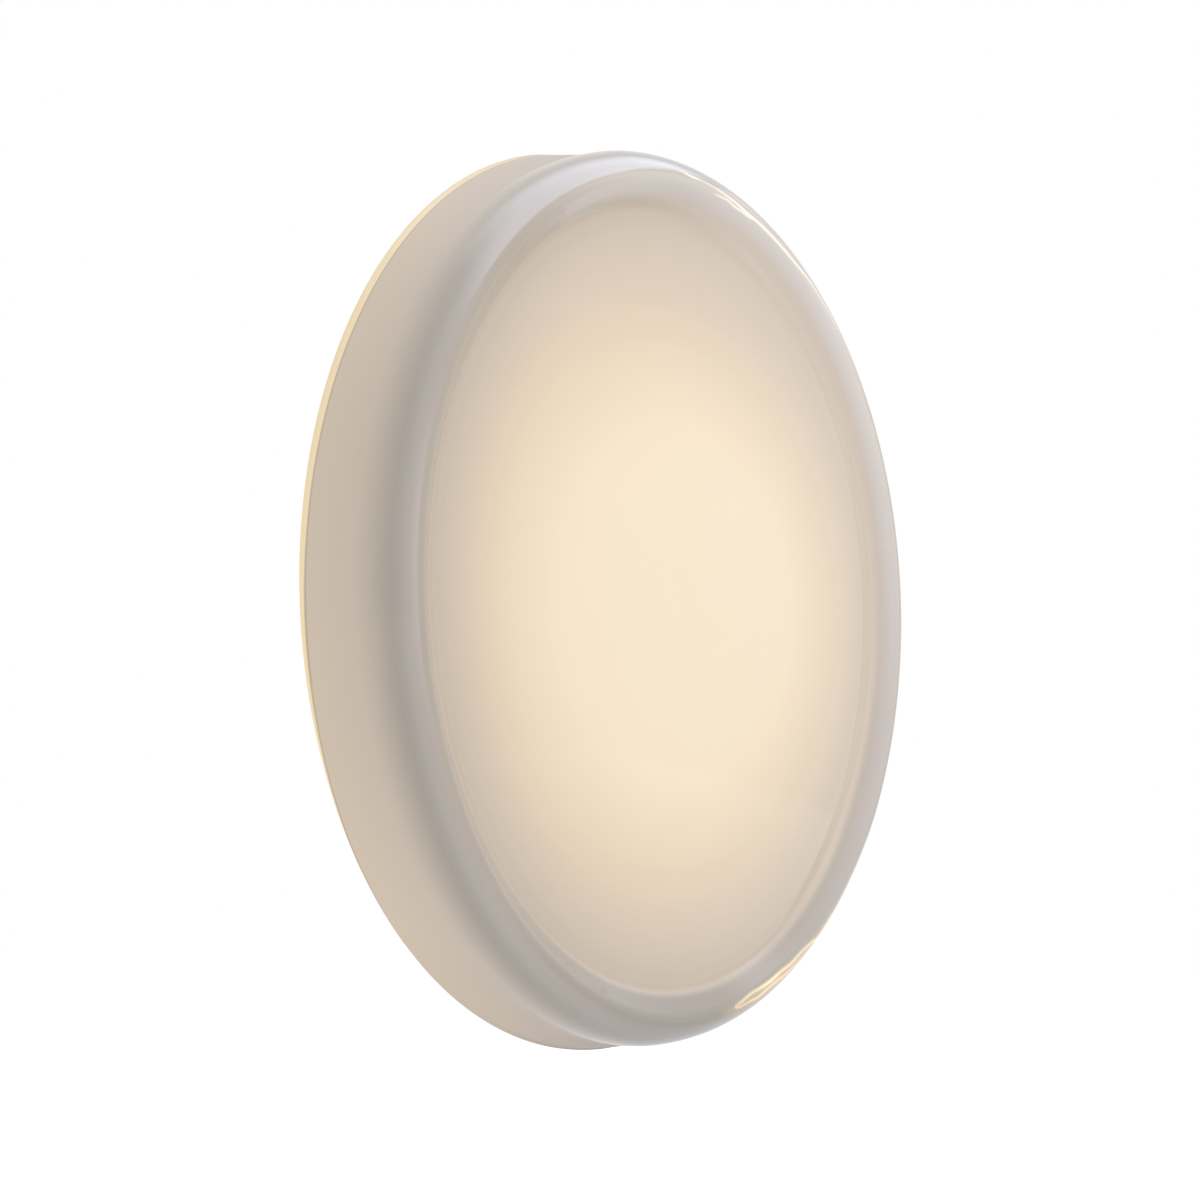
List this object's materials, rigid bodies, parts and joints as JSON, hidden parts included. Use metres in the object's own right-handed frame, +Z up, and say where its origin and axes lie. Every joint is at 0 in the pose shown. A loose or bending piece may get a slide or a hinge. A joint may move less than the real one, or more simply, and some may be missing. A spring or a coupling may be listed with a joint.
{
  "type": "round wall light",
  "caption": "Round flush wall light: an opal glass shade with a rolled rim, held by springs on a pressed wall plate with capsule lamps behind the glass.",
  "frame": {"origin": "middle of the wall plate's back, on the wall's surface", "axes": "+Z up, the light faces -Y out of the wall, +X to the right seen from the front"},
  "size_m": [0.35, 0.0492, 0.35],
  "materials": {
    "opal_glass": "blown opal glass, fire polished outside",
    "white_enamel": "white stove enamel on pressed sheet steel",
    "silicone": "moulded translucent silicone",
    "spring_steel": "hardened spring strip, ground faces",
    "plated_steel": "bright zinc plate",
    "steatite": "pressed and fired steatite",
    "brass": "turned brass",
    "lamp_glass": "clear fused silica",
    "nickel_wire": "drawn nickel wire",
    "tungsten": "coiled tungsten wire, lit",
    "white_nylon": "moulded nylon",
    "black_rubber": "moulded rubber",
    "brown_insulation": "extruded silicone insulation",
    "blue_insulation": "extruded silicone insulation",
    "green_insulation": "extruded insulation",
    "tinned_copper": "tinned copper",
    "green_steel": "green passivated steel"
  },
  "bodies": {
    "plate": {"wall_plate": "white_enamel", "edge_gasket": "silicone", "retaining_springs": "spring_steel", "spring_rivets": "plated_steel", "lamp_bracket": "plated_steel", "bracket_screws": "plated_steel", "lamp_holders": "steatite", "holder_screws": "plated_steel", "socket_contacts": "brass", "lamp_capsules": "lamp_glass", "lamp_pins": "nickel_wire", "lamp_filaments": "tungsten", "terminal_block": "white_nylon", "terminal_sleeves": "brass", "terminal_screws": "brass", "block_screw": "plated_steel", "cable_grommet": "black_rubber", "live_leads": "brown_insulation", "neutral_leads": "blue_insulation", "earth_lead": "green_insulation", "earth_tag": "tinned_copper", "earth_washer": "plated_steel", "earth_screw": "green_steel"},
    "shade": {"glass_shade": "opal_glass"}
  },
  "joints": [
    {"name": "shade_pull", "type": "slide", "parent": "plate", "child": "shade", "axis": [0, -1, 0], "range_m": [0, 0.06], "deforming": ["retaining_springs"]}
  ]
}
